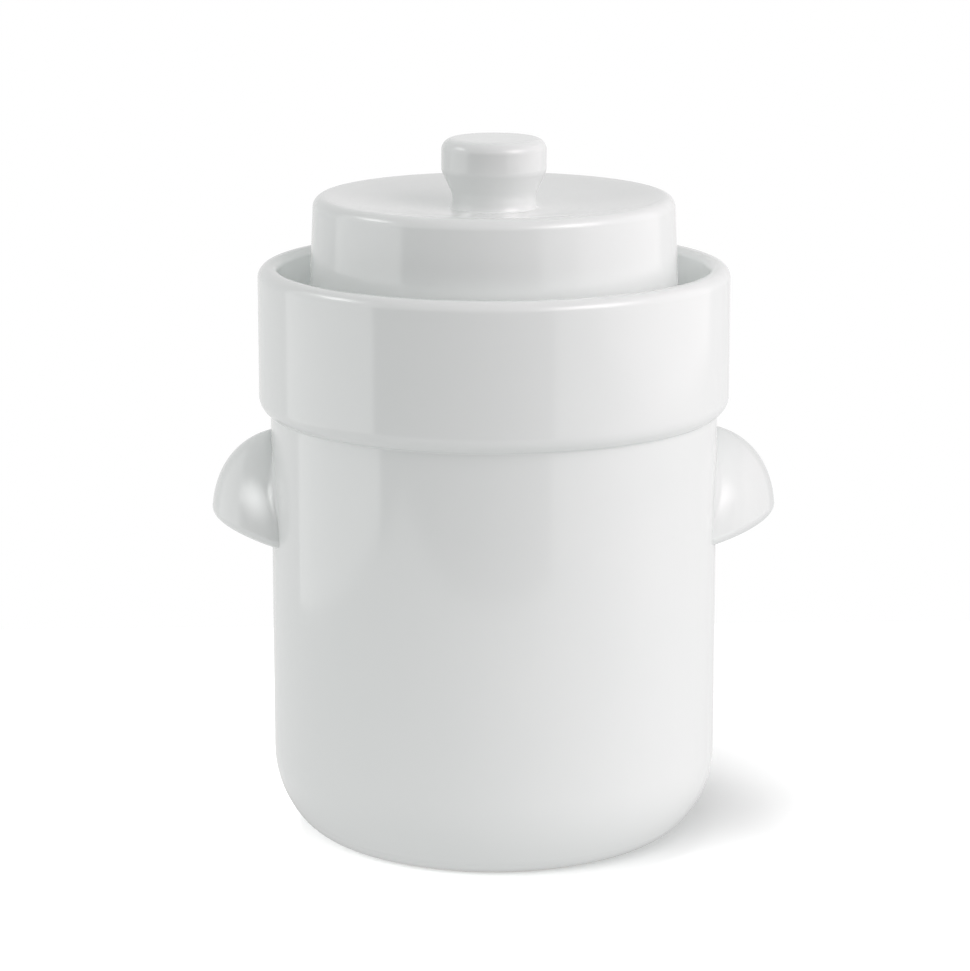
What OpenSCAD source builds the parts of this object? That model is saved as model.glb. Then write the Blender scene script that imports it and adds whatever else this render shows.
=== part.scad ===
// Water-seal fermentation crock, about five litres, in glazed stoneware.
// A neck ring closes the jar's top, and the moat between the neck and a collar holds water.
// The lid's skirt stands in that moat, so gas bubbles out and no air comes in.
// The origin is at the centre of the foot, +Z is up and the two handles lie along X.

/* [Jar] */
// Outside diameter of the straight wall
body_d = 196; // [150:1:240]
// Height of the collar's rim above the foot
crock_h = 253.8; // [220:0.1:320]
// Thickness of the jar's wall
wall_t = 8.5; // [6:0.1:12]
// Thickness of the floor
floor_t = 10; // [7:0.1:14]
// How far the heel draws in from the wall to the flat foot
heel_w = 29.5; // [22:0.1:36]
// Height at which the heel becomes the straight wall
heel_h = 38.1; // [30:0.1:46]
// Turn of the heel's upper arc before the tighter lower arc takes over
heel_turn = 39; // [30:1:48]
// Width of the foot ring around the recess
foot_ring = 13; // [8:0.5:20]
// Depth of the recess inside the foot ring
foot_recess = 2; // [1:0.1:4]
// Radius between the floor and the wall inside
inner_heel_r = 24; // [20:0.5:30]

/* [Neck] */
// Thickness of the neck
neck_t = 7.5; // [5:0.1:10]
// Height of the neck's lip above the collar's rim
lip_rise = 4.2; // [1:0.1:8]
// Width of the flat left on top of the lip
lip_flat = 0.2; // [0.1:0.1:2]
// Thickness of the shoulder under the moat
shoulder_t = 9; // [6:0.1:12]
// Radius between the wall and the shoulder inside
shoulder_r = 12; // [6:0.5:18]
// Radius of the edge where the shoulder turns up into the neck, inside
throat_r = 4; // [2:0.1:6]
// Height of the luted joint under the neck ring above the collar's crease
joint_rise = 1.5; // [0.5:0.1:4]

/* [Collar] */
// How far the collar stands out past the wall
collar_over = 5; // [3:0.1:8]
// Thickness of the collar
collar_t = 9; // [7:0.1:12]
// Height of the collar's straight outside
collar_h = 56.8; // [50:0.1:62]
// Radius of the arc under the collar
collar_arc = 8.1; // [7:0.1:10]
// Rounding of the rim outside
rim_out_r = 5; // [3:0.1:5.5]
// Rounding of the rim inside
rim_in_r = 3.6; // [2:0.1:4]
// Depth of the moat below the rim
moat_depth = 47.8; // [42:0.1:52]
// Radius in the two lower corners of the moat
moat_r = 4; // [2:0.1:5]
// Slip joint left around a piece that is luted on
lute_gap = 0.1; // [0.05:0.05:0.3]

/* [Handles] */
// How far a handle stands out from the wall
lug_reach = 26.4; // [20:0.1:32]
// Height of a handle against the wall
lug_h = 47.7; // [38:0.1:56]
// Distance from the collar's crease down to the top of a handle
lug_drop = 8.5; // [5:0.1:20]
// Angle at which a handle's underside rises away from the wall
lug_rise = 20; // [10:1:26]
// Rounding of a handle's lower edge
lug_edge_r = 4; // [2:0.1:4.4]
// Thickness of a handle around its finger hollow
lug_t = 9; // [8:0.1:11]
// Height of the finger hollow
hollow_h = 26; // [16:0.5:30]

/* [Lid] */
// Gap between the lid and the collar at the foot of the moat
moat_gap = 12; // [9:0.1:16]
// Gap between the lid and the neck
neck_gap = 4; // [3:0.1:6]
// Thickness of the skirt at its lower edge
skirt_t = 7.5; // [6:0.1:9]
// Inward lean of the skirt's outside
skirt_draft = 2.5; // [0.5:0.1:3]
// Height of the lid from the skirt's edge to the crest
lid_h = 78.2; // [72:0.1:90]
// Thickness of the lid's top
lid_t = 7; // [5:0.1:9]
// Rounding of the lid's outer edge
crest_r = 5; // [3:0.1:7]
// Depth of the dish in the top of the lid
dish_depth = 5.9; // [3:0.1:8]
// Radius between the skirt and the top inside
lid_corner_r = 6; // [3:0.1:8]
// Rounding of the skirt's lower edge
skirt_edge_r = 1.5; // [0.5:0.1:2.5]
// Radius of the gas notches in the skirt's lower edge
notch_r = 6; // [4:0.1:7]

/* [Knob] */
// Diameter of the knob's head
knob_d = 45.8; // [40:0.1:56]
// Height of the knob above the lid
knob_h = 30.3; // [26:0.1:40]
// Diameter of the knob's neck
knob_neck_d = 36.4; // [30:0.1:38]
// Height of the taper's start above the lid
knob_taper_z = 6.2; // [5.5:0.1:9]
// Angle of the taper under the head, from upright
knob_taper = 25; // [20:1:35]
// Rounding of the head's upper edge
knob_top_r = 5.3; // [3:0.1:7]
// Rounding of the head's lower edge
knob_low_r = 6; // [3:0.1:8]
// Radius of the hollow between the neck and the taper
knob_throat_r = 10; // [6:0.1:12]
// Radius of the flare at the knob's foot
knob_flare_r = 7.2; // [5:0.1:10]
// Height of the flare at the knob's foot
knob_flare_h = 3.6; // [2:0.1:3.8]

/* [Weight stones] */
// Gap between the stones and the jar's wall
stone_gap = 7.5; // [5:0.1:12]
// Thickness of a stone
stone_t = 16; // [12:0.5:22]
// Gap between the two stones
stone_split = 4; // [2:0.1:8]
// Rounding of a stone's edges
stone_edge_r = 4; // [2:0.1:5]
// Radius of the finger hole that the two stones share
stone_hole_r = 14; // [10:0.5:18]
// Clearance between a stone's rim and the floor's rounding
stone_rest = 0.3; // [0.2:0.05:1]

/* [Hidden] */
$fn = 96;

// Reach of a cut past the face that it opens
past = 1;

glaze = [0.92, 0.93, 0.93];
bare_clay = [0.83, 0.79, 0.72];

// Jar: radii outside and inside, and the two arcs that meet smoothly in the heel
body_r = body_d / 2;
inner_r = body_r - wall_t;
foot_r = body_r - heel_w;
heel_share = 1 - sin(heel_turn) - cos(heel_turn);
heel_up_r = (heel_w * (1 - sin(heel_turn)) - heel_h * cos(heel_turn)) / heel_share;
heel_low_r = (heel_h * (1 - cos(heel_turn)) - heel_w * sin(heel_turn)) / heel_share;
heel_c = [body_r - heel_up_r, heel_h];

// Collar and moat
collar_r = body_r + collar_over;
moat_out_r = collar_r - collar_t;
moat_z = crock_h - moat_depth;
seat_z = moat_z + moat_r;
collar_c = [collar_r - collar_arc, crock_h - collar_h];
crease_z = collar_c[1] - sqrt(pow(collar_arc, 2) - pow(body_r - collar_c[0], 2));

// Joint between jar and neck ring, hidden behind the foot of the collar
joint_z = crease_z + joint_rise;

// Lid skirt and neck, worked inwards from the collar
skirt_r = moat_out_r - moat_gap;
skirt_in_r = skirt_r - skirt_t;
neck_r = skirt_in_r - neck_gap;
mouth_r = neck_r - neck_t;
lip_z = crock_h + lip_rise;
lip_r = (neck_t - lip_flat) / 2;
under_z = moat_z - shoulder_t;

// Lid top: the crest's arc and the ball that hollows the dish
crest_z = moat_z + lid_h;
crest_c = [skirt_r - (lid_h - crest_r) * tan(skirt_draft) - crest_r / cos(skirt_draft), crest_z - crest_r];
dish_r = (pow(crest_c[0], 2) + pow(dish_depth, 2)) / (2 * dish_depth);
dish_c = [0, crest_z - dish_depth + dish_r];
lid_corner_c = [skirt_in_r - lid_corner_r,
                dish_c[1] - sqrt(pow(dish_r + lid_t + lid_corner_r, 2) - pow(skirt_in_r - lid_corner_r, 2))];

// Knob: its foot covers a flat seat in the dish
knob_r = knob_d / 2;
knob_neck_r = knob_neck_d / 2;
knob_foot_r = knob_neck_r + knob_flare_r - sqrt(pow(knob_flare_r, 2) - pow(knob_flare_h, 2));
knob_z = dish_c[1] - sqrt(pow(dish_r, 2) - pow(knob_foot_r, 2));
taper_run = (knob_r - knob_neck_r) / tan(knob_taper);
taper_set = tan(knob_taper / 2);

// Handles: the arc of the pointed dome, and the wedge that tilts its underside
lug_z = crease_z - lug_drop - lug_h;
lug_tilt = tan(lug_rise);
hollow_reach = lug_reach - lug_t;

// Stones: the height at which their rims rest on the floor's rounding
stone_r = inner_r - stone_gap;
rim_out = (stone_r - stone_edge_r) - (inner_r - inner_heel_r);
rim_drop = sqrt(pow(inner_heel_r - stone_edge_r - stone_rest, 2) - pow(rim_out, 2));
stone_z = floor_t + inner_heel_r - stone_edge_r - rim_drop;

// Unit vector at an angle
function toward(angle) = [cos(angle), sin(angle)];

// What a rounded corner leaves outside its arc about c, from angle a to angle b.
// Taken away it rounds a corner, and added it fills one.
module corner(c, r, a, b) {
    reach = r + past;
    tip = reach / cos((b - a) / 2);
    difference() {
        polygon([c, c + reach * toward(a), c + tip * toward((a + b) / 2), c + reach * toward(b)]);
        translate(c) circle(r);
    }
}

// A rectangle of a half section, from radius r0 to r1 and from height z0 to z1
module band(r0, r1, z0, z1) {
    translate([r0, z0]) square([r1 - r0, z1 - z0]);
}

// What the heel's two arcs leave outside them
module heel_waste() {
    far = 2 * heel_up_r;
    difference() {
        band(foot_r, body_r + past, -past, heel_h);
        translate([foot_r, heel_low_r]) circle(heel_low_r);
        intersection() {
            translate(heel_c) circle(heel_up_r);
            polygon([heel_c, heel_c + far * toward(-heel_turn), heel_c + far * toward(0)]);
        }
    }
}

// The jar's inside: floor, wall and the underside of the shoulder
module cavity_section() {
    difference() {
        band(0, inner_r, floor_t, under_z);
        corner([inner_r - inner_heel_r, floor_t + inner_heel_r], inner_heel_r, -90, 0);
        corner([inner_r - shoulder_r, under_z - shoulder_r], shoulder_r, 0, 90);
    }
    band(0, mouth_r, floor_t + inner_heel_r, seat_z + past);
    corner([mouth_r + throat_r, under_z + throat_r], throat_r, 180, 270);
}

// The channel between neck and collar
module moat_section() {
    difference() {
        band(neck_r, moat_out_r, moat_z, seat_z + past);
        corner([neck_r + moat_r, moat_z + moat_r], moat_r, 180, 270);
        corner([moat_out_r - moat_r, moat_z + moat_r], moat_r, 270, 360);
    }
}

// Jar with its foot, floor and wall
module crock_body() {
    color(glaze) rotate_extrude() difference() {
        band(0, body_r, 0, joint_z);
        heel_waste();
        band(0, foot_r - foot_ring, -past, foot_recess);
        cavity_section();
    }
}

// Ring that closes the jar: the shoulder, which is the moat's floor, and the neck around the mouth
module neck_ring() {
    color(glaze) rotate_extrude() {
        difference() {
            band(mouth_r, body_r, joint_z, seat_z);
            cavity_section();
            moat_section();
        }
        difference() {
            band(mouth_r, neck_r, moat_z - shoulder_t / 2, lip_z);
            corner([neck_r - lip_r, lip_z - lip_r], lip_r, 0, 90);
            corner([mouth_r + lip_r, lip_z - lip_r], lip_r, 90, 180);
        }
    }
}

// Outer wall of the moat, a ring that stands on the shoulder and laps over the joint below
module moat_collar() {
    color(glaze) rotate_extrude() difference() {
        band(moat_out_r, collar_r, crease_z - past, crock_h);
        band(moat_out_r - past, body_r + lute_gap, crease_z - 2 * past, seat_z);
        corner(collar_c, collar_arc, -90, 0);
        corner([collar_r - rim_out_r, crock_h - rim_out_r], rim_out_r, 0, 90);
        corner([moat_out_r + rim_in_r, crock_h - rim_in_r], rim_in_r, 90, 180);
    }
}

// Half section of a pointed dome, with an upright wall at its foot
module dome_section(reach, height) {
    arc_r = (reach * reach + height * height) / (2 * reach);
    intersection() {
        band(0, reach, 0, height);
        translate([reach - arc_r, 0]) circle(arc_r, $fn = 4 * $fn);
    }
}

// One ear handle on the +X side: a pointed dome leaning on the wall, hollow underneath for the fingers.
// The lean lifts every point by lug_tilt for each millimetre away from the wall.
module handle() {
    lean = [[1, 0, 0, body_r], [0, 1, 0, 0], [lug_tilt, 0, 1, lug_z], [0, 0, 0, 1]];
    difference() {
        multmatrix(lean) difference() {
            rotate_extrude() difference() {
                dome_section(lug_reach, lug_h);
                corner([lug_reach - lug_edge_r, lug_edge_r], lug_edge_r, -90, 0);
            }
            rotate_extrude() union() {
                dome_section(hollow_reach, hollow_h);
                band(0, hollow_reach, -past, 0);
            }
        }
        translate([0, 0, lug_z - 2 * lug_h]) cylinder(r = body_r + lute_gap, h = 4 * lug_h);
    }
}

module handle_left() {
    color(glaze) mirror([1, 0, 0]) handle();
}

module handle_right() {
    color(glaze) handle();
}

// Outside of the lid down to its dish
module lid_section() {
    top_r = skirt_r - lid_h * tan(skirt_draft);
    difference() {
        polygon([[0, moat_z], [skirt_r, moat_z], [top_r, crest_z], [0, crest_z]]);
        corner(crest_c, crest_r, skirt_draft, 90);
        corner([skirt_r - skirt_edge_r, moat_z + skirt_edge_r], skirt_edge_r, -90, 0);
        difference() {
            translate(dish_c) circle(dish_r, $fn = 8 * $fn);
            band(0, knob_foot_r, moat_z, knob_z);
        }
    }
}

// Inside of the lid, with its top parallel to the dish
module lid_hollow_section() {
    difference() {
        band(0, skirt_in_r, moat_z - past, crest_z);
        translate(dish_c) circle(dish_r + lid_t, $fn = 8 * $fn);
        corner(lid_corner_c, lid_corner_r, 0, acos(-lid_corner_c[0] / (dish_r + lid_t + lid_corner_r)));
    }
}

// Lid with its skirt and two gas notches
module lid_cap() {
    color(glaze) difference() {
        rotate_extrude() difference() {
            lid_section();
            lid_hollow_section();
        }
        translate([0, 0, moat_z]) rotate([90, 0, 0]) cylinder(r = notch_r, h = 2 * collar_r, center = true);
    }
}

// Knob turned in one piece, seated in the dish
module lid_knob() {
    top_z = knob_z + knob_h;
    bend_z = knob_z + knob_taper_z;
    low_z = bend_z + taper_run + knob_low_r * taper_set;
    color(glaze) rotate_extrude() {
        difference() {
            union() {
                polygon([[0, knob_z], [knob_neck_r, knob_z], [knob_neck_r, bend_z],
                         [knob_r, bend_z + taper_run], [knob_r, top_z], [0, top_z]]);
                corner([knob_neck_r + knob_throat_r, bend_z - knob_throat_r * taper_set],
                       knob_throat_r, 180 - knob_taper, 180);
            }
            corner([knob_r - knob_low_r, low_z], knob_low_r, -knob_taper, 0);
            corner([knob_r - knob_top_r, top_z - knob_top_r], knob_top_r, 0, 90);
        }
        difference() {
            band(0, knob_foot_r, knob_z, knob_z + knob_flare_h);
            translate([knob_neck_r + knob_flare_r, knob_z + knob_flare_h]) circle(knob_flare_r);
        }
    }
}

// Half-moon weight on the +X side, with half of the shared finger hole in its straight edge
module stone() {
    half = stone_t / 2;
    edge_c = stone_split / 2 + stone_edge_r;
    translate([0, 0, stone_z + half]) difference() {
        intersection() {
            rotate_extrude() difference() {
                band(0, stone_r, -half, half);
                corner([stone_r - stone_edge_r, half - stone_edge_r], stone_edge_r, 0, 90);
                corner([stone_r - stone_edge_r, stone_edge_r - half], stone_edge_r, -90, 0);
            }
            rotate([90, 0, 0]) linear_extrude(2 * body_r, center = true) difference() {
                band(stone_split / 2, body_r, -half, half);
                corner([edge_c, half - stone_edge_r], stone_edge_r, 90, 180);
                corner([edge_c, stone_edge_r - half], stone_edge_r, 180, 270);
            }
        }
        cylinder(r = stone_hole_r, h = 2 * stone_t, center = true);
    }
}

module weight_stone_left() {
    color(bare_clay) mirror([1, 0, 0]) stone();
}

module weight_stone_right() {
    color(bare_clay) stone();
}

crock_body();
neck_ring();
moat_collar();
handle_left();
handle_right();
lid_cap();
lid_knob();
weight_stone_left();
weight_stone_right();
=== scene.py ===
# %% [markdown]
# # A water-seal fermentation crock in white glaze
#
# The crock is a jar with a second, outer wall around its neck. Water fills the moat between
# the two, the lid's skirt stands in that water, and gas bubbles out under the skirt while no
# air comes in. The clay is already packed as solids. This lesson makes the glazed skin that the
# eye sees: each form is a surface worked out with numpy from a few arcs, and two finishes cover
# all of it, a glossy white glaze and bare fired clay.

import bpy
import numpy as np
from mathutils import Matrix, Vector


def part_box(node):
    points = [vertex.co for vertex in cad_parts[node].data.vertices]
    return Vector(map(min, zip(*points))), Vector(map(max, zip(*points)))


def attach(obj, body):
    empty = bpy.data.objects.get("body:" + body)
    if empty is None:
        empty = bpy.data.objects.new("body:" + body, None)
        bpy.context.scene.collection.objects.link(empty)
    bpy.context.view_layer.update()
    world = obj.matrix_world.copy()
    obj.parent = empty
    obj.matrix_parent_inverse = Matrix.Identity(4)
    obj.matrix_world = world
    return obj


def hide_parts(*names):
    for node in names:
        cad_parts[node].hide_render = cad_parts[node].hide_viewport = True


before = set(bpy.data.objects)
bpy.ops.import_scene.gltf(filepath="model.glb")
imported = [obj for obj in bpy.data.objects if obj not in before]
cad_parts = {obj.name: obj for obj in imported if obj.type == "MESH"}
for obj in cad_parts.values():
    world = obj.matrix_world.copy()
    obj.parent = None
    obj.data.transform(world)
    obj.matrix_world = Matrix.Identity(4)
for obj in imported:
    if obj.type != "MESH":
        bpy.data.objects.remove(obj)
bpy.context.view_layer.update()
print("nodes:", sorted(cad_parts))

# %% [markdown]
# ## Sizes
#
# A glaze follows its clay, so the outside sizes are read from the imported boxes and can't drift
# from them. What a box doesn't tell, such as a wall's thickness or a radius, is written in
# millimetres in the cell of the piece that needs it.

# %% Read the boxes
MM = 0.001
jar_low, jar_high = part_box("crock_body")
ring_low, ring_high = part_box("neck_ring")
collar_low, collar_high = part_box("moat_collar")
ear_low, ear_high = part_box("handle_right")
lid_low, lid_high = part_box("lid_cap")
knob_low, knob_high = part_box("lid_knob")
stone_low, stone_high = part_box("weight_stone_right")

wall_r = jar_high.x
joint_z = jar_high.z
lip_z = ring_high.z
rim_z = collar_high.z
moat_z = lid_low.z
print("wall radius", round(wall_r / MM, 1), "rim height", round(rim_z / MM, 1), "mm")

# %% [markdown]
# ## Profiles made of arcs
#
# A potter's rib and template leave nothing but straight stretches and round ones, so a profile
# here is a chain of arcs with straight runs between them. It could be drawn as a Bezier curve,
# but an arc given by its centre and radius keeps the real sizes readable. Long straight runs get
# extra points, so that all faces stay about as small and the gloss flows evenly over them.

# %% Arcs and outlines
ARC_STEP = 3.0
RUN_STEP = 5 * MM


def toward(angle):
    """Unit vectors at an angle in degrees: the cosine and the sine."""
    turn = np.radians(angle)
    return np.stack([np.cos(turn), np.sin(turn)], axis=-1)


def arc(centre, radius, start, end):
    """Points of a circle from one angle to another: the centre plus radius times the unit vector."""
    count = int(np.ceil(abs(end - start) / ARC_STEP)) + 1
    return np.asarray(centre) + radius * toward(np.linspace(start, end, count))


def outline(*stretches):
    """Joins points and arcs into one line. Each run that is longer than RUN_STEP is split into equal
    parts: its start plus the run times the part's number over the count of parts."""
    points = np.vstack([np.atleast_2d(stretch) for stretch in stretches])
    run = np.diff(points, axis=0)
    length = np.linalg.norm(run, axis=1)
    points = np.vstack([points[:-1][length > 0], points[-1]])
    run, length = run[length > 0], length[length > 0]
    parts = np.ceil(length / RUN_STEP).astype(int)
    place = np.arange(parts.sum()) - np.repeat(np.cumsum(parts) - parts, parts)
    split = np.repeat(points[:-1], parts, axis=0)
    split = split + np.repeat(run / parts[:, None], parts, axis=0) * place[:, None]
    return np.vstack([split, points[-1]])


print("a quarter of a 10 mm circle has", len(arc((0, 0), 10 * MM, 0, 90)), "points")

# %% [markdown]
# ## From a grid of points to a mesh
#
# Every piece is a grid: one way along its profile, the other way round its axis. Neighbours in
# the grid make the quads, the last column joins the first, and a pole on the axis is closed by
# a fan of triangles. Blender's Screw modifier would turn a profile too, but with numpy the same
# grid can also lean, swell or be notched before it becomes a mesh.

# %% Grid to mesh
SHARP_EDGE = np.radians(40)
LITRES_PER_M3 = 1000
TURN_STEPS = 256
FULL_TURN = np.linspace(0, 2 * np.pi, TURN_STEPS, endpoint=False)
# Lengths under a micrometre count as nothing.
TINY = 1e-6


def grid_faces(rows, columns, ring):
    """Quads of a grid that closes round its columns. With ring, the last row joins the first too."""
    row = np.arange(rows if ring else rows - 1)[:, None]
    column = np.arange(columns)[None, :]
    corners = [(row, column), (row, column + 1), (row + 1, column + 1), (row + 1, column)]
    quads = np.stack([(i % rows) * columns + j % columns for i, j in corners], axis=-1)
    return quads.reshape(-1, 4)


def fan_faces(row_start, columns, pole, outward):
    """Triangles between one row of the grid and a single pole point."""
    column = np.arange(columns)
    here, after = row_start + column, row_start + (column + 1) % columns
    first, second = (here, after) if outward else (after, here)
    return np.stack([first, second, np.full(columns, pole)], axis=-1)


def make_piece(name, points, faces, bare=None):
    """Puts points and faces into a mesh, shades it smooth and keeps edges over 40 degrees sharp.
    The volume that it prints is a sixth of the sum of a . (b x c) over the triangles' corners."""
    mesh = bpy.data.meshes.new(name)
    mesh.from_pydata(points.tolist(), [], faces)
    mesh.shade_smooth()
    mesh.set_sharp_from_angle(angle=SHARP_EDGE)
    if bare is not None:
        mesh.attributes.new("bare", "FLOAT", "POINT").data.foreach_set("value", bare.astype(np.float32))
    made = bpy.data.objects.new(name, mesh)
    bpy.context.scene.collection.objects.link(made)
    mesh.calc_loop_triangles()
    corner = np.zeros(3 * len(mesh.loop_triangles), dtype=int)
    mesh.loop_triangles.foreach_get("vertices", corner)
    a, b, c = (points[corner[k::3]] for k in range(3))
    litres = np.einsum("ij,ij->i", a, np.cross(b, c)).sum() / 6 * LITRES_PER_M3
    print(name, len(mesh.loop_triangles), "triangles enclose", round(litres, 3), "litres of clay")
    return made


def turned(name, profile, ring=False, angles=None, shape=None, bare=None):
    """Surface of revolution: a profile point (r, z) at angle t stands at (r cos t, r sin t, z).
    An end of the profile on the axis becomes a pole. shape may move the grid of points afterwards,
    and bare gives each profile point its share of bare clay."""
    angles = FULL_TURN if angles is None else angles
    bare = np.zeros(len(profile)) if bare is None else bare
    start_pole, end_pole = profile[0, 0] < TINY, profile[-1, 0] < TINY
    between = slice(int(start_pole), len(profile) - int(end_pole))
    rows = profile[between]
    radius, height = rows[:, :1], rows[:, 1:]
    grid = np.stack([radius * np.cos(angles), radius * np.sin(angles), height + 0 * angles], axis=-1)
    grid = grid if shape is None else shape(grid)
    count, columns = grid.shape[:2]
    points = grid.reshape(-1, 3)
    faces = grid_faces(count, columns, ring).tolist()
    share = np.repeat(bare[between], columns)
    if start_pole:
        faces += fan_faces(0, columns, len(points), False).tolist()
        points = np.vstack([points, [0, 0, profile[0, 1]]])
        share = np.append(share, bare[0])
    if end_pole:
        faces += fan_faces((count - 1) * columns, columns, len(points), True).tolist()
        points = np.vstack([points, [0, 0, profile[-1, 1]]])
        share = np.append(share, bare[-1])
    return make_piece(name, points, faces, share)


turn_step = 2 * np.pi * wall_r / TURN_STEPS
print("a full turn has", TURN_STEPS, "steps of", round(turn_step / MM, 2), "mm on the wall")

# %% [markdown]
# ## The jar
#
# The jar is a straight cup. Its heel draws in by two arcs that meet smoothly, a slow one under
# the wall and a tight one above the foot, as a template cuts it. It stands on a bare ring around
# a shallow recess, because glaze on the foot would weld it to the kiln shelf. The profile runs
# from the middle of the underside up the outside and down the inside, so the faces point outwards.
# Each point also carries its share of bare clay, which the glaze reads later.

# %% Make the jar
wall_t = 8.5 * MM
floor_t = 10 * MM
heel_w = 29.5 * MM
heel_h = 38.1 * MM
heel_turn = 39
foot_ring = 13 * MM
foot_recess = 2 * MM
foot_edge_r = 0.8 * MM
inner_heel_r = 24 * MM
shoulder_r = 12 * MM
shoulder_t = 9 * MM
glaze_line = 0.25 * MM

inner_r = wall_r - wall_t
foot_r = wall_r - heel_w
recess_r = foot_r - foot_ring
under_z = moat_z - shoulder_t
heel_sin, heel_cos = np.sin(np.radians(heel_turn)), np.cos(np.radians(heel_turn))
heel_share = 1 - heel_sin - heel_cos
heel_up_r = (heel_w * (1 - heel_sin) - heel_h * heel_cos) / heel_share
heel_low_r = (heel_h * (1 - heel_cos) - heel_w * heel_sin) / heel_share
shoulder_c = (inner_r - shoulder_r, under_z - shoulder_r)
joint_turn = np.degrees(np.arcsin((joint_z - shoulder_c[1]) / shoulder_r))


def bare_share(height):
    """Share of bare clay at a height: all of it up to the glaze line, none from twice that height."""
    return np.clip(2 - height / glaze_line, 0, 1)


jar_profile = outline(
    (0, foot_recess),
    arc((recess_r - foot_edge_r, foot_recess - foot_edge_r), foot_edge_r, 90, 0),
    arc((recess_r + foot_edge_r, foot_edge_r), foot_edge_r, 180, 270),
    arc((foot_r, heel_low_r), heel_low_r, -90, -heel_turn),
    arc((wall_r - heel_up_r, heel_h), heel_up_r, -heel_turn, 0),
    (wall_r, joint_z),
    arc(shoulder_c, shoulder_r, joint_turn, 0),
    arc((inner_r - inner_heel_r, floor_t + inner_heel_r), inner_heel_r, 0, -90),
    (0, floor_t),
)
jar = turned("jar", jar_profile, bare=bare_share(jar_profile[:, 1]))

# %% [markdown]
# ## The neck ring
#
# A template can't pass a narrow neck, so the shoulder and the neck are turned as a ring and
# luted onto the jar with slip. Its profile closes on itself: up the outside, over the moat's
# floor, up and over the lip, down the mouth and back under the shoulder to the joint.

# %% Make the neck ring
moat_r = 4 * MM
collar_t = 9 * MM
skirt_t = 7.5 * MM
moat_gap = 12 * MM
neck_gap = 4 * MM
neck_t = 7.5 * MM
lip_flat = 0.2 * MM
throat_r = 4 * MM

collar_r = collar_high.x
moat_out_r = collar_r - collar_t
seat_z = moat_z + moat_r
skirt_r = moat_out_r - moat_gap
skirt_in_r = skirt_r - skirt_t
neck_r = skirt_in_r - neck_gap
mouth_r = neck_r - neck_t
lip_r = (neck_t - lip_flat) / 2

neck_profile = outline(
    (wall_r, joint_z),
    (wall_r, seat_z),
    arc((moat_out_r - moat_r, seat_z), moat_r, 0, -90),
    arc((neck_r + moat_r, seat_z), moat_r, 270, 180),
    arc((neck_r - lip_r, lip_z - lip_r), lip_r, 0, 90),
    arc((mouth_r + lip_r, lip_z - lip_r), lip_r, 90, 180),
    arc((mouth_r + throat_r, under_z + throat_r), throat_r, 180, 270),
    arc(shoulder_c, shoulder_r, 90, joint_turn),
    (wall_r - RUN_STEP, joint_z),
)
neck = turned("mouth_ring", neck_profile, ring=True)

# %% [markdown]
# ## The collar
#
# The moat's outer wall is another ring. It stands on the shoulder and laps over the joint, with
# a rounded rim above and a round underside below. Where that underside meets the jar's wall, the
# glaze has run into the crease, which a small hollow arc shows: it touches both the wall and the
# underside, so its centre stands off each of them by its own radius.

# %% Make the collar
collar_arc = 8.1 * MM
collar_h = 56.8 * MM
rim_out_r = 5 * MM
rim_in_r = 3.6 * MM
crease_r = 0.8 * MM
slip_bite = 0.2 * MM

under_c = np.array([collar_r - collar_arc, rim_z - collar_h])
crease_dr = wall_r + crease_r - under_c[0]
crease_turn = np.degrees(np.arccos(crease_dr / (collar_arc + crease_r)))
crease_c = under_c + (collar_arc + crease_r) * toward(-crease_turn)

collar_profile = outline(
    (wall_r - slip_bite, crease_c[1]),
    arc(crease_c, crease_r, 180, 180 - crease_turn),
    arc(under_c, collar_arc, -crease_turn, 0),
    arc((collar_r - rim_out_r, rim_z - rim_out_r), rim_out_r, 0, 90),
    arc((moat_out_r + rim_in_r, rim_z - rim_in_r), rim_in_r, 90, 180),
    (moat_out_r, seat_z),
    (wall_r - slip_bite, seat_z),
    (wall_r - slip_bite, crease_c[1] + RUN_STEP),
)
collar = turned("collar", collar_profile, ring=True)

# %% [markdown]
# ## The lid
#
# The lid is a cap with a slightly leaning skirt and a dished top, which makes room for the knob.
# The crest's small arc turns a few degrees past its top, until it points at the centre of the
# dish's large ball: there the two are tangent and no edge shows. The skirt's lower edge is wiped
# bare, because the lid stands on it in the kiln, and it has two half-round notches for the gas.
# A notch lifts the skirt's lowest points to a half circle and fades out above it.

# %% Make the lid
skirt_draft = 2.5
lid_t = 7 * MM
crest_r = 5 * MM
dish_depth = 5.9 * MM
lid_corner_r = 6 * MM
skirt_edge_r = 1.5 * MM
notch_r = 6 * MM
notch_fade = 16 * MM
NOTCH_STEPS = 25
ANGLE_DIGITS = 6

crest_z = lid_high.z
lean = np.radians(skirt_draft)
crest_x = skirt_r - (crest_z - moat_z - crest_r) * np.tan(lean) - crest_r / np.cos(lean)
crest_c = np.array([crest_x, crest_z - crest_r])
ball_r = (crest_c[0] ** 2 + dish_depth ** 2) / (2 * dish_depth)
ball_c = np.array([0, crest_z - dish_depth + ball_r])
dish_r = np.linalg.norm(ball_c - crest_c) - crest_r
dish_turn = np.degrees(np.arcsin(crest_c[0] / (dish_r + crest_r)))
seat_r = np.sqrt(dish_r ** 2 - (ball_c[1] - knob_low.z) ** 2)
seat_turn = np.degrees(np.arcsin(seat_r / dish_r))
roof_r = ball_r + lid_t
corner_dr = skirt_in_r - lid_corner_r
corner_turn = np.degrees(np.arcsin(corner_dr / (roof_r + lid_corner_r)))
corner_c = ball_c + (roof_r + lid_corner_r) * toward(corner_turn - 90)

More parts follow.
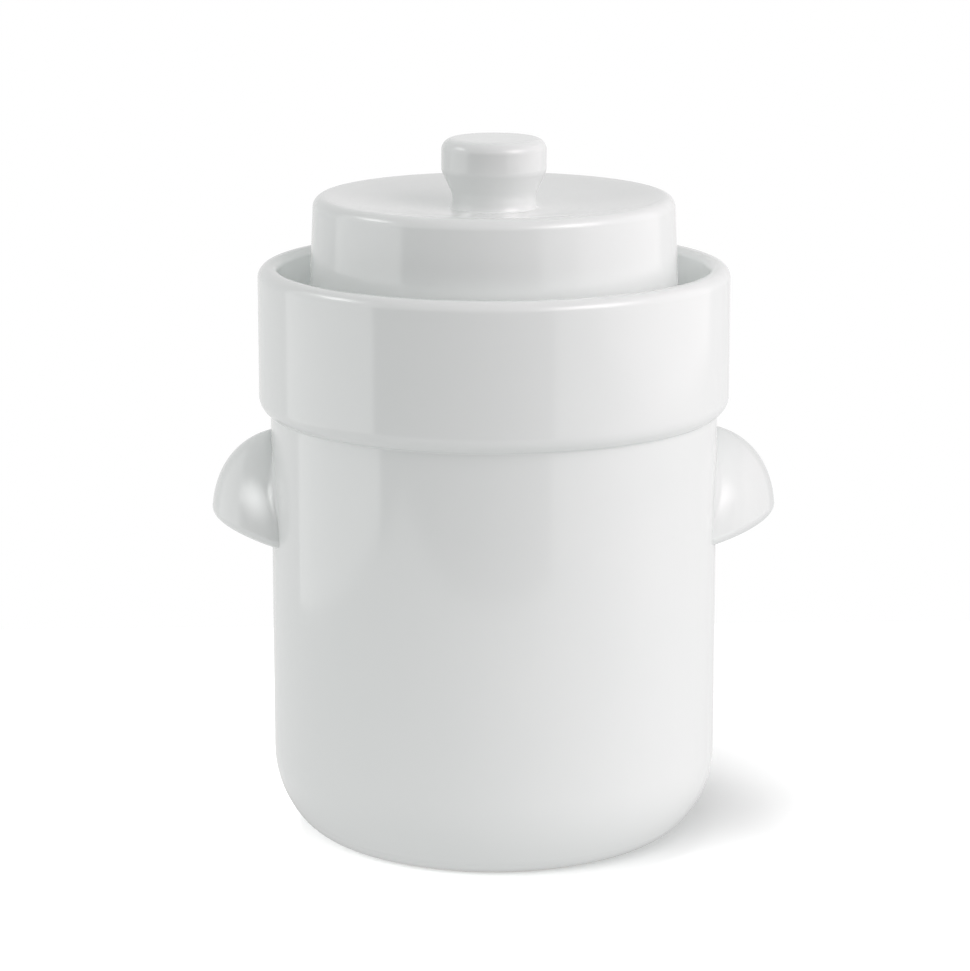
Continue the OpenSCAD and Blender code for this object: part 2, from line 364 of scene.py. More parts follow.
lid_profile = outline(
    (0, ball_c[1] - roof_r),
    arc(ball_c, roof_r, -90, corner_turn - 90),
    arc(corner_c, lid_corner_r, 90 + corner_turn, 0),
    arc((skirt_in_r + skirt_edge_r, moat_z + skirt_edge_r), skirt_edge_r, 180, 270),
    arc((skirt_r - skirt_edge_r, moat_z + skirt_edge_r), skirt_edge_r, -90, skirt_draft),
    arc(crest_c, crest_r, skirt_draft, 90 + dish_turn),
    arc(ball_c, dish_r, dish_turn - 90, seat_turn - 90),
    (0, knob_low.z),
)
notch_turn = notch_r / skirt_in_r
notch_angles = np.linspace(-notch_turn, notch_turn, NOTCH_STEPS)
lid_angles = np.concatenate([FULL_TURN, np.pi / 2 + notch_angles, 3 * np.pi / 2 + notch_angles])
lid_angles = np.unique(np.round(lid_angles, ANGLE_DIGITS))


def notched(grid):
    """Lifts a point of the skirt by the root of the notch's radius squared minus its distance from the
    notch's middle squared, less and less with its height above the skirt's edge."""
    rise = np.sqrt(np.clip(notch_r ** 2 - grid[..., 0] ** 2, 0, None))
    fade = np.clip(1 - (grid[..., 2] - moat_z) / notch_fade, 0, 1)
    on_skirt = np.hypot(grid[..., 0], grid[..., 1]) > skirt_in_r - TINY
    lifted = grid.copy()
    lifted[..., 2] += rise * fade * on_skirt
    return lifted


lid_bare = bare_share(lid_profile[:, 1] - moat_z)
lid = turned("lid", lid_profile, angles=lid_angles, shape=notched, bare=lid_bare)

# %% [markdown]
# ## The knob
#
# The knob is turned solid: a flared foot, a hollow throat and a head that widens to a straight
# side with round edges, for thumb and fingers. Its foot runs out into the lid by a second, much
# tighter hollow arc, which is glaze that has gathered there. Both arcs share a line through their
# centres where they meet, so the surface has no edge.

# %% Make the knob
knob_neck_r = 18.2 * MM
knob_taper = 25
knob_taper_z = 6.2 * MM
knob_top_r = 5.3 * MM
knob_low_r = 6 * MM
knob_throat_r = 10 * MM
knob_flare_r = 7.2 * MM
knob_flare_h = 3.6 * MM
foot_glaze_r = 1.2 * MM

knob_r = knob_high.x
knob_z, knob_top = knob_low.z, knob_high.z
taper_set = np.tan(np.radians(knob_taper / 2))
bend_z = knob_z + knob_taper_z
low_z = bend_z + (knob_r - knob_neck_r) / np.tan(np.radians(knob_taper)) + knob_low_r * taper_set
throat_c = (knob_neck_r + knob_throat_r, bend_z - knob_throat_r * taper_set)
flare_c = np.array([knob_neck_r + knob_flare_r, knob_z + knob_flare_h])
flare_gap = knob_flare_r - foot_glaze_r
flare_turn = 180 + np.degrees(np.arcsin((knob_flare_h - foot_glaze_r) / flare_gap))
foot_c = flare_c + flare_gap * toward(flare_turn)

knob_profile = outline(
    (0, knob_z),
    arc(foot_c, foot_glaze_r, 270, flare_turn),
    arc(flare_c, knob_flare_r, flare_turn, 180),
    arc(throat_c, knob_throat_r, 180, 180 - knob_taper),
    arc((knob_r - knob_low_r, low_z), knob_low_r, -knob_taper, 0),
    arc((knob_r - knob_top_r, knob_top - knob_top_r), knob_top_r, 0, 90),
    (0, knob_top),
)
knob = turned("knob", knob_profile)

# %% [markdown]
# ## The ear handles
#
# An ear is a pointed dome that leans on the wall, hollow underneath for the fingertips. It is the
# hardest form of the crock. A mould gives its section: down the hollow, round the lower lip and
# up the outside. That section is swept from wall to wall about an upright axis in the wall's face,
# and the whole dome is then sheared so that its underside rises away from the wall.
#
# The potter seals the ear to the wall with slip, most of it halfway up, and wipes it to nothing at
# the top and the foot. A Boolean union and a bevel could do that too, but the mesh would no longer
# be a plain grid. Here the points of the ear that lie near the wall move along it instead.

# %% Section of an ear
ear_h = 47.7 * MM
ear_rise = 20
ear_t = 9 * MM
hollow_h = 26 * MM
ear_lip_r = 4 * MM
ear_inner_lip_r = 3 * MM
slip_r = 4 * MM
hollow_slip_r = 1.5 * MM
slip_z = 25 * MM
slip_reach = 17 * MM
wall_bite = 1.5 * MM

ear_reach = ear_high.x - wall_r
ear_z = ear_high.z - ear_h
ear_tilt = np.tan(np.radians(ear_rise))


def pointed(reach, height):
    """Centre, radius and last angle of the arc that leaves the ground upright at reach and meets the axis
    at height. Its radius is (reach squared plus height squared) over twice the reach."""
    radius = (reach ** 2 + height ** 2) / (2 * reach)
    return np.array([reach - radius, 0]), radius, np.degrees(np.arcsin(height / radius))


outer_c, outer_r, outer_turn = pointed(ear_reach, ear_h)
hollow_c, hollow_r, hollow_turn = pointed(ear_reach - ear_t, hollow_h)
inner_lip_turn = np.degrees(np.arcsin(ear_inner_lip_r / (hollow_r + ear_inner_lip_r)))
inner_lip_c = hollow_c + (hollow_r + ear_inner_lip_r) * toward(inner_lip_turn)
outer_lip_turn = np.degrees(np.arcsin(ear_lip_r / (outer_r - ear_lip_r)))
outer_lip_c = outer_c + (outer_r - ear_lip_r) * toward(outer_lip_turn)

ear_hollow = np.vstack([
    arc(hollow_c, hollow_r, hollow_turn, inner_lip_turn),
    arc(inner_lip_c, ear_inner_lip_r, 180 + inner_lip_turn, 270),
])
ear_outside = np.vstack([
    arc(outer_lip_c, ear_lip_r, -90, outer_lip_turn),
    arc(outer_c, outer_r, outer_lip_turn, outer_turn),
])
ear_section = np.vstack([ear_hollow, ear_outside])
slip_peak = np.repeat([hollow_slip_r, slip_r], [len(ear_hollow), len(ear_outside)])
slip_fade = np.clip((ear_section[:, 1] - slip_z) / slip_reach, -1, 1)
# The slip's radius at each point of the section: a cosine squared over the height.
slip = slip_peak * np.cos(np.pi / 2 * slip_fade) ** 2
print("an ear's section has", len(ear_section), "points and stands out", round(ear_reach / MM, 1), "mm")

# %% Sweep an ear and seal it to the wall
SWEEP_STEPS = 97
BACK_STEPS = 9
SWEEP = np.linspace(-1, 1, SWEEP_STEPS)
# A cubic that is level at both ends gathers the columns near the wall.
SPREAD = (3 * SWEEP - SWEEP ** 3) / 2
BACK_SHARE = np.linspace(1, 0, BACK_STEPS)[1:-1]
back_r = wall_r - wall_bite


def swept_section():
    """Points and normals over the section and the sweep. A section point (q, h) swept by angle t stands
    at (wall + q cos t, q sin t, base + h + tilt q cos t), and t ends where that point meets the wall:
    its cosine is then minus q over twice the wall's radius."""
    along = np.gradient(ear_section, axis=0)
    normal = np.stack([along[:, 1], -along[:, 0]], axis=-1)
    normal = normal / np.linalg.norm(normal, axis=1, keepdims=True)
    normal_q, normal_h = normal[:, :1], normal[:, 1:]
    q, h = np.clip(ear_section[:, :1], 0, None), ear_section[:, 1:]
    turn = SPREAD * np.arccos(-q / (2 * wall_r))
    out_x, out_y = np.cos(turn), np.sin(turn)
    grid = np.stack([wall_r + q * out_x, q * out_y, ear_z + h + ear_tilt * q * out_x], axis=-1)
    face_x = normal_q * out_x - ear_tilt * normal_h
    return grid, np.stack([face_x, normal_q * out_y, normal_h + 0 * turn], axis=-1)


def sealed(grid, face):
    """Moves a point that is nearer to the wall than the slip's radius along the wall, out of the clay, by
    the radius minus the root of radius squared minus (radius minus distance) squared."""
    reach = np.hypot(grid[..., 0], grid[..., 1])
    hollow = slip[:, None]
    stand = np.clip(reach - wall_r, 0, hollow)
    outward = np.stack([grid[..., 0] / reach, grid[..., 1] / reach, 0 * reach], axis=-1)
    along_wall = face - np.sum(face * outward, axis=-1, keepdims=True) * outward
    along_wall = along_wall / np.linalg.norm(along_wall, axis=-1, keepdims=True)
    push = hollow - np.sqrt(hollow ** 2 - (hollow - stand) ** 2)
    moved = grid + push[..., None] * along_wall
    moved[..., :2] *= (reach / np.hypot(moved[..., 0], moved[..., 1]))[..., None]
    return moved


def closed_behind(grid):
    """Adds columns inside the wall: angle and height go evenly from the last column to the first."""
    angle, height = np.arctan2(grid[..., 1], grid[..., 0]), grid[..., 2]
    turn = angle[:, -1:] * BACK_SHARE + angle[:, :1] * (1 - BACK_SHARE)
    level = height[:, -1:] * BACK_SHARE + height[:, :1] * (1 - BACK_SHARE)
    back = np.stack([back_r * np.cos(turn), back_r * np.sin(turn), level], axis=-1)
    return np.concatenate([grid, back], axis=1)


ear_grid = closed_behind(sealed(*swept_section()))
print("an ear's grid has", ear_grid.shape[0], "rows and", ear_grid.shape[1], "columns")


# %% Make the ears
def ear(name, side):
    """The ear's grid with a pole inside the wall at both ends. Side -1 mirrors it and turns its faces."""
    rows, columns = ear_grid.shape[:2]
    hollow_pole = [back_r, 0, ear_grid[0, :, 2].mean()]
    outer_pole = [back_r, 0, ear_grid[-1, :, 2].mean()]
    points = np.vstack([ear_grid.reshape(-1, 3), hollow_pole, outer_pole]) * [side, 1, 1]
    faces = grid_faces(rows, columns, False)
    fans = np.vstack([fan_faces(0, columns, rows * columns, False),
                      fan_faces((rows - 1) * columns, columns, rows * columns + 1, True)])
    order = slice(None, None, side)
    return make_piece(name, points, faces[:, order].tolist() + fans[:, order].tolist())


ear_left, ear_right = ear("ear_left", -1), ear("ear_right", 1)

# %% [markdown]
# ## The weight stones
#
# Two half-moons of bare stoneware lie on the ferment and keep it under the brine. A half-moon's
# outline is a chain of arcs as well: the rim, two round tips, the straight edge and half of the
# finger hole. A quarter-round edge is carried along it above and below: at angle a the outline
# moves inwards by the radius times (1 - cos a) and up by the radius times sin a.

# %% Make the stones
stone_edge_r = 4 * MM
stone_tip_r = 5 * MM
stone_hole_r = 14 * MM
EDGE_STEPS = 16

stone_r, split_x = stone_high.x, stone_low.x
tip_x = split_x + stone_tip_r
tip_y = np.sqrt((stone_r - stone_tip_r) ** 2 - tip_x ** 2)
hole_y = np.sqrt((stone_hole_r + stone_tip_r) ** 2 - tip_x ** 2)
tip_turn = np.degrees(np.arctan2(tip_y, tip_x))
hole_turn = np.degrees(np.arctan2(hole_y, tip_x))


def half_moon():
    """Outline of the stone and its outward normals, from the rim round the tips and the finger hole."""
    stretches = [
        ((0, 0), stone_r, -tip_turn, tip_turn, 1),
        ((tip_x, tip_y), stone_tip_r, tip_turn, 180, 1),
        ((tip_x, hole_y), stone_tip_r, 180, 180 + hole_turn, 1),
        ((0, 0), stone_hole_r, hole_turn, -hole_turn, -1),
        ((tip_x, -hole_y), stone_tip_r, 180 - hole_turn, 180, 1),
        ((tip_x, -tip_y), stone_tip_r, 180, 360 - tip_turn, 1),
    ]
    points = [arc(centre, radius, start, end)[:-1] for centre, radius, start, end, way in stretches]
    normals = [way * arc((0, 0), 1, start, end)[:-1] for centre, radius, start, end, way in stretches]
    return np.vstack(points), np.vstack(normals)


def stone(name, side):
    """Carries two quarter-round edges along the outline and closes it above and below with a flat face."""
    points, normals = half_moon()
    quarter = np.linspace(0, 90, EDGE_STEPS)
    roll = np.radians(np.concatenate([quarter - 90, quarter]))[:, None]
    middles = [stone_low.z + stone_edge_r, stone_high.z - stone_edge_r]
    middle = np.repeat(middles, EDGE_STEPS)[:, None]
    inset = stone_edge_r * (1 - np.cos(roll))
    plan = points[None] - normals[None] * inset[..., None]
    height = middle + stone_edge_r * np.sin(roll) + 0 * points[None, :, 0]
    grid = np.concatenate([plan, height[..., None]], axis=-1) * [side, 1, 1]
    rows, columns = grid.shape[:2]
    below = np.arange(columns)[::-1]
    above = (rows - 1) * columns + np.arange(columns)
    order = slice(None, None, side)
    flats = [below[order].tolist(), above[order].tolist()]
    faces = grid_faces(rows, columns, False)[:, order].tolist() + flats
    return make_piece(name, grid.reshape(-1, 3), faces)


stone_left, stone_right = stone("stone_left", -1), stone("stone_right", 1)

# %% [markdown]
# ## Nodes and colours
#
# One small function adds a shader node, sets its properties and links its sockets, which keeps a
# material as short as a list. Colours are written as the hex values that an eye would pick from a
# screen, and one function turns them into the linear light that the renderer adds up.

# %% Node and colour helpers
def colour(code):
    """Turns an sRGB hex value into linear red, green, blue and alpha, by the curve of the sRGB standard."""
    srgb = np.array([int(code[k:k + 2], 16) for k in (1, 3, 5)]) / 255
    linear = np.where(srgb <= 0.04045, srgb / 12.92, ((srgb + 0.055) / 1.055) ** 2.4)
    return (*linear.tolist(), 1.0)


def add_node(tree, kind, settings, inputs):
    """Adds a node. settings are its properties, and inputs gives each socket a value or a link."""
    made = tree.nodes.new(kind)
    for name, value in settings.items():
        setattr(made, name, value)
    for socket, value in inputs.items():
        if isinstance(value, bpy.types.NodeSocket):
            tree.links.new(value, made.inputs[socket])
        else:
            made.inputs[socket].default_value = value
    return made


def new_material(name):
    """An empty material and its node tree."""
    material = bpy.data.materials.new(name)
    material.use_nodes = True
    material.node_tree.nodes.clear()
    return material, material.node_tree


print("middle grey in linear light:", round(colour("#808080")[0], 3))

# %% [markdown]
# ## White glaze
#
# The glaze is a layer of white glass, about a third of a millimetre thick, melted over stoneware.
# It gives the eye a clean white with a sharp, shallow mirror on top. It is poured, so it lies in
# very slow waves, with a finer ripple like the skin of an orange, and its gloss changes a little
# from place to place. Where it was wiped off, the clay shows.

# %% Glazed stoneware
GLAZE_WAVE = 26 * MM
GLAZE_RIPPLE = 3.2 * MM
GLAZE_CLOUD = 60 * MM
# Real grains of clay are finer. They are drawn this coarse so that they show.
CLAY_GRAIN = 0.9 * MM


def glazed_stoneware():
    """White glass melted over clay: a clean white under a sharp, shallow mirror."""
    material, tree = new_material("white_glazed_stoneware")
    place = add_node(tree, "ShaderNodeTexCoord", {}, {}).outputs["Object"]
    sizes = [(GLAZE_CLOUD, 3.0), (GLAZE_WAVE, 1.0), (GLAZE_RIPPLE, 2.0), (CLAY_GRAIN, 4.0)]
    cloud, wave, ripple, grain = [
        add_node(tree, "ShaderNodeTexNoise", {}, {"Vector": place, "Scale": 1 / size, "Detail": detail})
        for size, detail in sizes]
    bare = add_node(tree, "ShaderNodeAttribute", {"attribute_name": "bare"}, {}).outputs["Fac"]
    white = add_node(tree, "ShaderNodeMix", {"data_type": "RGBA"},
                     {"Factor": cloud.outputs["Fac"], "A": colour("#ebeeed"), "B": colour("#f0f2f1")})
    clay = add_node(tree, "ShaderNodeMix", {"data_type": "RGBA"},
                    {"Factor": grain.outputs["Fac"], "A": colour("#b9ac98"), "B": colour("#d6cbb9")})
    skin = add_node(tree, "ShaderNodeMix", {"data_type": "RGBA"},
                    {"Factor": bare, "A": white.outputs["Result"], "B": clay.outputs["Result"]})
    gloss = add_node(tree, "ShaderNodeMapRange", {},
                     {"Value": ripple.outputs["Fac"], "To Min": 0.07, "To Max": 0.13})
    rough = add_node(tree, "ShaderNodeMix", {"data_type": "FLOAT"},
                     {"Factor": bare, "A": gloss.outputs["Result"], "B": 0.85})
    slow = add_node(tree, "ShaderNodeBump", {},
                    {"Height": wave.outputs["Fac"], "Strength": 0.5, "Distance": 0.12 * MM})
    quick = add_node(tree, "ShaderNodeBump", {},
                     {"Height": ripple.outputs["Fac"], "Strength": 0.3, "Distance": 0.01 * MM,
                      "Normal": slow.outputs["Normal"]})
    shader = add_node(tree, "ShaderNodeBsdfPrincipled", {},
                      {"Base Color": skin.outputs["Result"], "Roughness": rough.outputs["Result"],
                       "IOR": 1.52, "Normal": quick.outputs["Normal"]})
    add_node(tree, "ShaderNodeOutputMaterial", {}, {"Surface": shader.outputs["BSDF"]})
    return material


white_glaze = glazed_stoneware()
print("made", white_glaze.name)

# %% [markdown]
# ## Bare stoneware
#
# The weight stones are fired without glaze, because they lie in brine and must not craze. The
# clay is warm, pale and matt, with a fine grain and a few darker grains of grog.

# %% Unglazed stoneware
GROG = 3.5 * MM


def unglazed_stoneware():
    """Fired clay without glaze: warm, pale and matt, with a fine grain and a few dark specks."""
    material, tree = new_material("bare_fired_stoneware")
    place = add_node(tree, "ShaderNodeTexCoord", {}, {}).outputs["Object"]
    grain, cloud = [
        add_node(tree, "ShaderNodeTexNoise", {}, {"Vector": place, "Scale": 1 / size, "Detail": detail})
        for size, detail in [(CLAY_GRAIN, 5.0), (GLAZE_CLOUD, 4.0)]]
    grog = add_node(tree, "ShaderNodeTexVoronoi", {}, {"Vector": place, "Scale": 1 / GROG})
    speck = add_node(tree, "ShaderNodeMapRange", {},
                     {"Value": grog.outputs["Distance"], "From Min": 0.08, "From Max": 0.14,
                      "To Min": 0.5, "To Max": 0.0})
    clay = add_node(tree, "ShaderNodeMix", {"data_type": "RGBA"},
                    {"Factor": cloud.outputs["Fac"], "A": colour("#c8bca8"), "B": colour("#dbd1c0")})
    specked = add_node(tree, "ShaderNodeMix", {"data_type": "RGBA"},
                       {"Factor": speck.outputs["Result"], "A": clay.outputs["Result"],
                        "B": colour("#8f7d66")})
    rough = add_node(tree, "ShaderNodeMapRange", {},
                     {"Value": grain.outputs["Fac"], "To Min": 0.72, "To Max": 0.92})
    bump = add_node(tree, "ShaderNodeBump", {},
                    {"Height": grain.outputs["Fac"], "Strength": 0.6, "Distance": 0.15 * MM})
    shader = add_node(tree, "ShaderNodeBsdfPrincipled", {},
                      {"Base Color": specked.outputs["Result"], "Roughness": rough.outputs["Result"],
                       "Normal": bump.outputs["Normal"]})
    add_node(tree, "ShaderNodeOutputMaterial", {}, {"Surface": shader.outputs["BSDF"]})
    return material


bare_stoneware = unglazed_stoneware()
print("made", bare_stoneware.name)

# %% [markdown]
# ## Pieces on their bodies
#
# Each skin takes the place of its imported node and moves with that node's body: the lid and its
# knob lift together, and each stone rises by itself.

# %% Dress the bodies
dressed = [
    (jar, "crock", "crock_body", "white_glaze", white_glaze),
    (neck, "crock", "neck_ring", "white_glaze", white_glaze),
    (collar, "crock", "moat_collar", "white_glaze", white_glaze),
    (ear_left, "crock", "handle_left", "white_glaze", white_glaze),
    (ear_right, "crock", "handle_right", "white_glaze", white_glaze),
    (lid, "lid", "lid_cap", "white_glaze", white_glaze),
    (knob, "lid", "lid_knob", "white_glaze", white_glaze),
    (stone_left, "stone_left", "weight_stone_left", "bare_stoneware", bare_stoneware),
    (stone_right, "stone_right", "weight_stone_right", "bare_stoneware", bare_stoneware),
]
for skin_piece, body, node_name, slot, finish in dressed:
    skin_piece.data.materials.append(finish)
    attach(skin_piece, body)
    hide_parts(node_name)
print("dressed", len(dressed), "pieces")

# %% [markdown]
# ## The table and the white room
#
# White ware on white is drawn by what it mirrors. The crock stands on a white table whose front
# edge is near, and a dark card beyond it stands for the unlit room behind the camera. A plain white
# plane would do as a table, but the lamps that make it white would light the crock as well. So it
# shows each kind of ray something else, and so does the white room around it. The camera sees
# white paint under lamps of its own, with the crock's shadow on it. A mirror, such as the glaze, sees
# an even white with a painted shade under the heel, in place of the crock's shadow on the table.
# Scattered light gets an even white that is a little dimmer.

# %% Table and dark card
TABLE_FRONT = 0.59
TABLE_SIDE = 0.62
TABLE_BACK = 0.35
# Levels, where 1 is white: the table as a light, in mirrors, and as a painted shade in mirrors under the
# crock.
TABLE_BOUNCE = 0.737
MIRRORED = 0.85
PAINTED_SHADE_LEVEL = 0.40
PAINTED_SHADE_FROM = 60 * MM
PAINTED_SHADE_TO = 140 * MM
CARD_AWAY = 2.4
CARD_LEFT = 4.5
CARD_RIGHT = 1.2
CARD_LOW = -1.5
CARD_HIGH = 1.2


def flat_panel(name, corners, material):
    """A stage panel from its four corners."""
    mesh = bpy.data.meshes.new(name)
    mesh.from_pydata(corners, [], [(0, 1, 2, 3)])
    mesh.materials.append(material)
    made = bpy.data.objects.new(name, mesh)
    bpy.context.scene.collection.objects.link(made)
    return made


def level_by_ray(tree, scattered, mirrored, seen):
    """A strength that depends on who asks: scattered light, a mirror or the camera itself."""
    path = add_node(tree, "ShaderNodeLightPath", {}, {})
    other = add_node(tree, "ShaderNodeMix", {"data_type": "FLOAT"},
                     {"Factor": path.outputs["Is Glossy Ray"], "A": scattered, "B": mirrored})
    level = add_node(tree, "ShaderNodeMix", {"data_type": "FLOAT"},
                     {"Factor": path.outputs["Is Camera Ray"], "A": other.outputs["Result"], "B": seen})
    return level.outputs["Result"]


def table_white():
    """For the camera: white paint under the table's own lamps. For all other rays: an even white, so that
    those lamps don't reach the crock. In mirrors a painted shade, standing for the crock's shadow, darkens
    it near the axis and fades out with the distance."""
    material, tree = new_material("white_table_with_painted_shade")
    paint_share = level_by_ray(tree, 0.0, 0.0, 1.0)
    place = add_node(tree, "ShaderNodeTexCoord", {}, {}).outputs["Object"]
    away = add_node(tree, "ShaderNodeVectorMath", {"operation": "LENGTH"}, {0: place}).outputs["Value"]
    # Painted shade: the mirrored white is darker near the axis, where the crock's shadow on the table would
    # be.
    mirrored = add_node(tree, "ShaderNodeMapRange", {"interpolation_type": "SMOOTHSTEP"},
                        {"Value": away, "From Min": PAINTED_SHADE_FROM, "From Max": PAINTED_SHADE_TO,
                         "To Min": PAINTED_SHADE_LEVEL, "To Max": MIRRORED}).outputs["Result"]
    glow = level_by_ray(tree, TABLE_BOUNCE, mirrored, 0.0)
    even = add_node(tree, "ShaderNodeEmission", {}, {"Strength": glow})
    paint = add_node(tree, "ShaderNodeBsdfDiffuse", {}, {"Color": colour("#f8f8f8")})
    both = add_node(tree, "ShaderNodeMixShader", {},
                    {0: paint_share, 1: even.outputs["Emission"], 2: paint.outputs["BSDF"]})
    add_node(tree, "ShaderNodeOutputMaterial", {}, {"Surface": both.outputs["Shader"]})
    return material


def card_black():
    """Black card that stands for the unlit room behind the camera."""
    material, tree = new_material("dark_studio_card")
    paint = add_node(tree, "ShaderNodeBsdfDiffuse", {}, {"Color": colour("#1c1c1c")})
    add_node(tree, "ShaderNodeOutputMaterial", {}, {"Surface": paint.outputs["BSDF"]})
    return material


table = flat_panel("table", [
    (-TABLE_SIDE, -TABLE_FRONT, 0), (TABLE_SIDE, -TABLE_FRONT, 0),
    (TABLE_SIDE, TABLE_BACK, 0), (-TABLE_SIDE, TABLE_BACK, 0)], table_white())
card = flat_panel("dark_card", [
    (-CARD_LEFT, -CARD_AWAY, CARD_LOW), (-CARD_LEFT, -CARD_AWAY, CARD_HIGH),
    (CARD_RIGHT, -CARD_AWAY, CARD_HIGH), (CARD_RIGHT, -CARD_AWAY, CARD_LOW)], card_black())
card.visible_camera = False
print("the table's front edge is", TABLE_FRONT, "m from the crock's axis")

# %% [markdown]
# ## Light
#
# Soft sources light the scene. Each is an area lamp whose brightness is that of the panel's own
# face, where 1 is paper white, so the strength of a reflection can be read off directly. A glaze
# shows a lamp twice: as a small, bright mirror image, and as scattered light all over. One lamp
# rarely suits both, so a lamp here may be only mirrored or only scattered, and it may fade towards
# its edge as a softbox does. In a studio, black boards called flags keep a lamp off what it shouldn't
# reach. Light linking does that here.

# %% Lamp helpers
def around(aim, azimuth, elevation, away):
    """The place at a distance from a point: away times (sin a cos e, -cos a cos e, sin e) from it, where
    the azimuth a counts from the front to the right and the elevation e upwards, in degrees."""
    turn, climb = np.radians(azimuth), np.radians(elevation)
    side = [np.sin(turn) * np.cos(climb), -np.cos(turn) * np.cos(climb), np.sin(climb)]
    return np.asarray(aim) + away * np.array(side)


def turn_to(place, aim):
    """The turn that points an object's own -Z axis from its place to its aim, with Y upwards."""
    return Vector(np.subtract(aim, place)).to_track_quat("-Z", "Y").to_euler()


def feather(lamp):
    """Fades a lamp from its middle to its edge: its emission falls smoothly over half its width."""
    lamp.use_nodes = True
    tree = lamp.node_tree
    tree.nodes.clear()
    place = add_node(tree, "ShaderNodeNewGeometry", {}, {}).outputs["Parametric"]
    away = add_node(tree, "ShaderNodeVectorMath", {"operation": "DISTANCE"}, {0: place, 1: (0.5, 0.5, 0)})
    fade = add_node(tree, "ShaderNodeMapRange", {"interpolation_type": "SMOOTHSTEP"},
                    {"Value": away.outputs["Value"], "From Max": 0.5, "To Min": 1.0, "To Max": 0.0})
    light = add_node(tree, "ShaderNodeEmission", {}, {"Strength": fade.outputs["Result"]})
    add_node(tree, "ShaderNodeOutputLight", {}, {"Surface": light.outputs["Emission"]})


def link_light(lamp, pieces, state):
    """Lets a lamp light these pieces alone, or all but these: the flags around it."""
    flag = bpy.data.collections.new("flag_" + lamp.name)
    lamp.light_linking.receiver_collection = flag
    for piece in pieces:
        flag.objects.link(piece)
    for link in flag.collection_objects:
        link.light_linking.link_state = state


def softbox(name, brightness, place, aim, size, only=(), spares=(), tone="#ffffff", feathered=False,
            mirrored=True, scattered=True):
    """An area lamp turned towards its aim. Its power is its brightness times pi times its area.
    It lights the pieces in only, or else everything but the table and the pieces that it spares."""
    lamp = bpy.data.lights.new(name, "AREA")
    lamp.shape = "RECTANGLE"
    lamp.size, lamp.size_y = size
    lamp.color = colour(tone)[:3]
    lamp.energy = brightness * np.pi * size[0] * size[1]
    if feathered:
        feather(lamp)
    made = bpy.data.objects.new("softbox_" + name, lamp)
    made.location = place
    made.rotation_euler = turn_to(place, aim)
    made.visible_camera = False
    made.visible_glossy = mirrored
    made.visible_diffuse = scattered
    bpy.context.scene.collection.objects.link(made)
    link_light(made, only or [table, *spares], "INCLUDE" if only else "EXCLUDE")
    print("softbox", name, "of", size[0], "by", size[1], "m")


# %% [markdown]
# ## The lamps
#
# The softbox at the left and the wide one at the right give the jar its bright sides, with the dark
# room between them. The main light stands at the right, above the camera: one part of it scatters
# and another is only mirrored, which draws the streaks on the lid's crest and the collar's rim. A
# second mirrored lamp does the same at the left. A low fill from the front lifts the shaded middle.
# The ears and the knob are small and round, so they have lamps of their own, and the table's two
# lamps make the soft shadow at the right.

# %% Set the lamps
WARM = "#fff7fa"
LID_AIM = (0, 0, 0.25)
JAR_AIM = (0, 0, 0.15)
FOOT_AIM = (0, 0, 0)

# Each call gives a name, a brightness, a place, an aim and a size. Lengths are in metres.
softbox("left", 0.664, (-0.565, -0.115, 0.33), (0.388, -0.412, 0.33), (0.64, 0.66))
softbox("right", 0.553, (1.10, -0.10, 0.60), (0, -0.10, 0.60), (1.60, 1.20), tone=WARM)
softbox("key", 1.69, around(LID_AIM, 57, 33, 1.6), LID_AIM, (1.7, 1.0),
        spares=[ear_right], tone=WARM, mirrored=False)
softbox("core", 5.5, around(LID_AIM, 50, 33, 1.5), LID_AIM, (1.8, 1.3),
        spares=[ear_right], tone=WARM, feathered=True, scattered=False)
softbox("glint", 5.0, around(LID_AIM, -92, 35, 1.5), LID_AIM, (1.1, 0.7),
        spares=[ear_left], feathered=True, scattered=False)
softbox("front", 1.866, (0.4, -1.5, 0.4), JAR_AIM, (1.4, 0.5), spares=[knob], mirrored=False)
softbox("knob", 0.777, (0, -0.8, 1.25), (0, 0, 0.3), (0.9, 0.7), only=[knob], mirrored=False)
softbox("ear_left", 5.293, around(JAR_AIM, -29, 25, 1.25), JAR_AIM, (2.1, 1.15),
        only=[ear_left], feathered=True, scattered=False)
softbox("ear_right", 4.05, around(JAR_AIM, -4, 29, 1.5), JAR_AIM, (2.2, 1.2),
        only=[ear_right], tone=WARM, feathered=True)
softbox("table_low", 8.1, around(FOOT_AIM, -25, 25, 1.5), FOOT_AIM, (1.8, 0.7), only=[table])
softbox("table_top", 9.05, around(FOOT_AIM, -90, 80, 1.5), FOOT_AIM, (0.8, 0.8), only=[table])

# %% [markdown]
# ## Light in the moat and in the room
#
# Light that falls into the moat goes to and fro between its white walls and brightens them. The
# lamps above leave the moat too dark, so a small lamp on the axis stands in for that light. The room
# is a world that is white to the camera, a little darker in mirrors and dimmer still as a light. A
# dome with a white material would do the same, but a world needs no mesh.

# %% Moat and room
ROOM = 0.534
MOAT_POWER = 0.055
MOAT_LAMP_R = 20 * MM


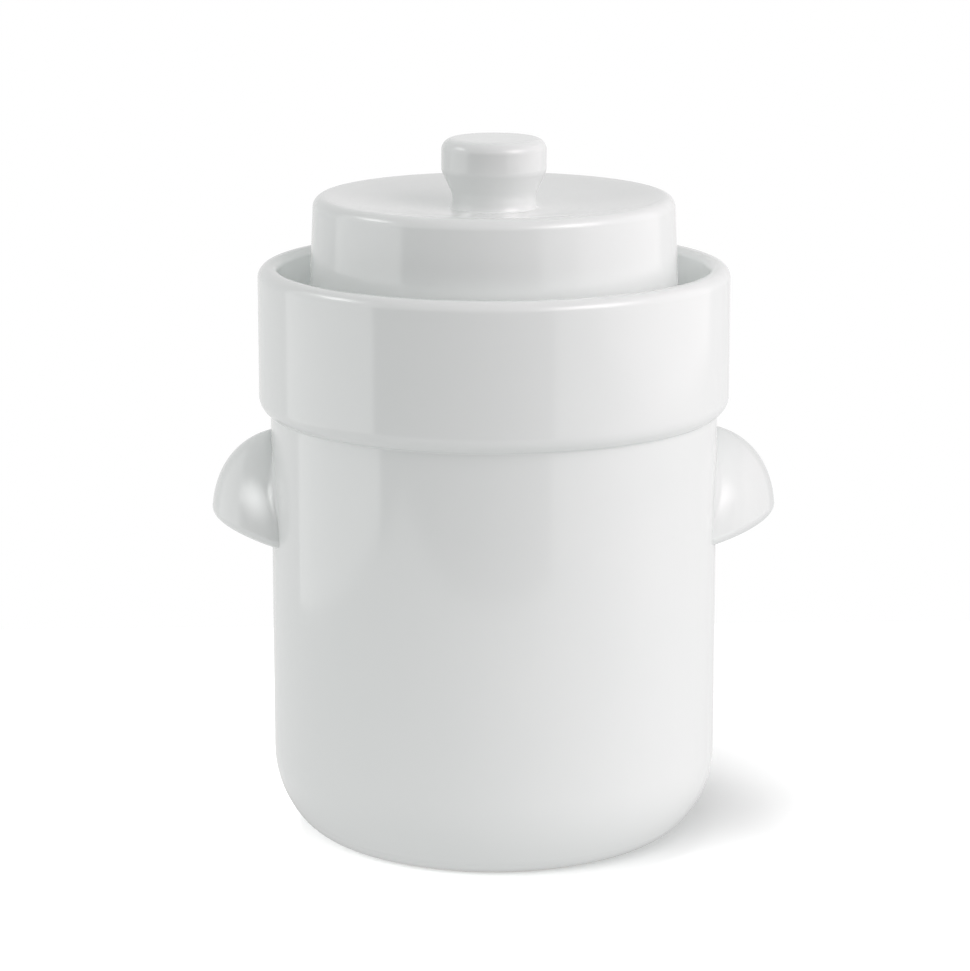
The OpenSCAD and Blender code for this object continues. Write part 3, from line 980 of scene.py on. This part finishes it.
def moat_light():
    """A small lamp on the axis that shines outwards on the collar's inner wall alone, without a shadow."""
    lamp = bpy.data.lights.new("moat", "POINT")
    lamp.energy = MOAT_POWER
    lamp.shadow_soft_size = MOAT_LAMP_R
    lamp.use_shadow = False
    made = bpy.data.objects.new("moat_light", lamp)
    made.location = (0, 0, (moat_z + rim_z) / 2)
    made.visible_camera = False
    made.visible_glossy = False
    bpy.context.scene.collection.objects.link(made)
    link_light(made, [collar], "INCLUDE")


def white_room():
    """A world that is white where it is seen directly and dimmer for mirrors and scattered light."""
    world = bpy.data.worlds.new("white_room")
    world.use_nodes = True
    tree = world.node_tree
    tree.nodes.clear()
    sky = add_node(tree, "ShaderNodeBackground", {},
                   {"Color": colour("#ffffff"), "Strength": level_by_ray(tree, ROOM, MIRRORED, 1.0)})
    add_node(tree, "ShaderNodeOutputWorld", {}, {"Surface": sky.outputs["Background"]})
    bpy.context.scene.world = world


moat_light()
white_room()
print("the moat's lamp has", MOAT_POWER, "W and the room a level of", ROOM)

# %% [markdown]
# ## Camera
#
# The crock is seen from a little above its rim by a long lens, so its sides stay nearly parallel.
# The camera looks at a point on the axis, and a small shift puts the axis right of the middle.

# %% Camera
CAMERA_ELEVATION = 12.384
CAMERA_AZIMUTH = -2.0
CAMERA_AWAY = 1.6559
CAMERA_AIM = (0, 0, 0.15481)
PICTURE_WIDTH = 970
FOCAL_PIXELS = 3749
AXIS_COLUMN = 494
SENSOR = 36

camera_data = bpy.data.cameras.new("photo_view")
camera_data.sensor_fit = "HORIZONTAL"
camera_data.sensor_width = SENSOR
camera_data.lens = SENSOR * FOCAL_PIXELS / PICTURE_WIDTH
camera_data.shift_x = (PICTURE_WIDTH / 2 - AXIS_COLUMN) / PICTURE_WIDTH
camera = bpy.data.objects.new("photo_view", camera_data)
bpy.context.scene.collection.objects.link(camera)
camera.location = around(CAMERA_AIM, CAMERA_AZIMUTH, CAMERA_ELEVATION, CAMERA_AWAY)
camera.rotation_euler = turn_to(camera.location, CAMERA_AIM)
bpy.context.scene.camera = camera
bpy.context.scene.view_settings.view_transform = "Standard"
print("lens", round(camera_data.lens, 1), "mm")
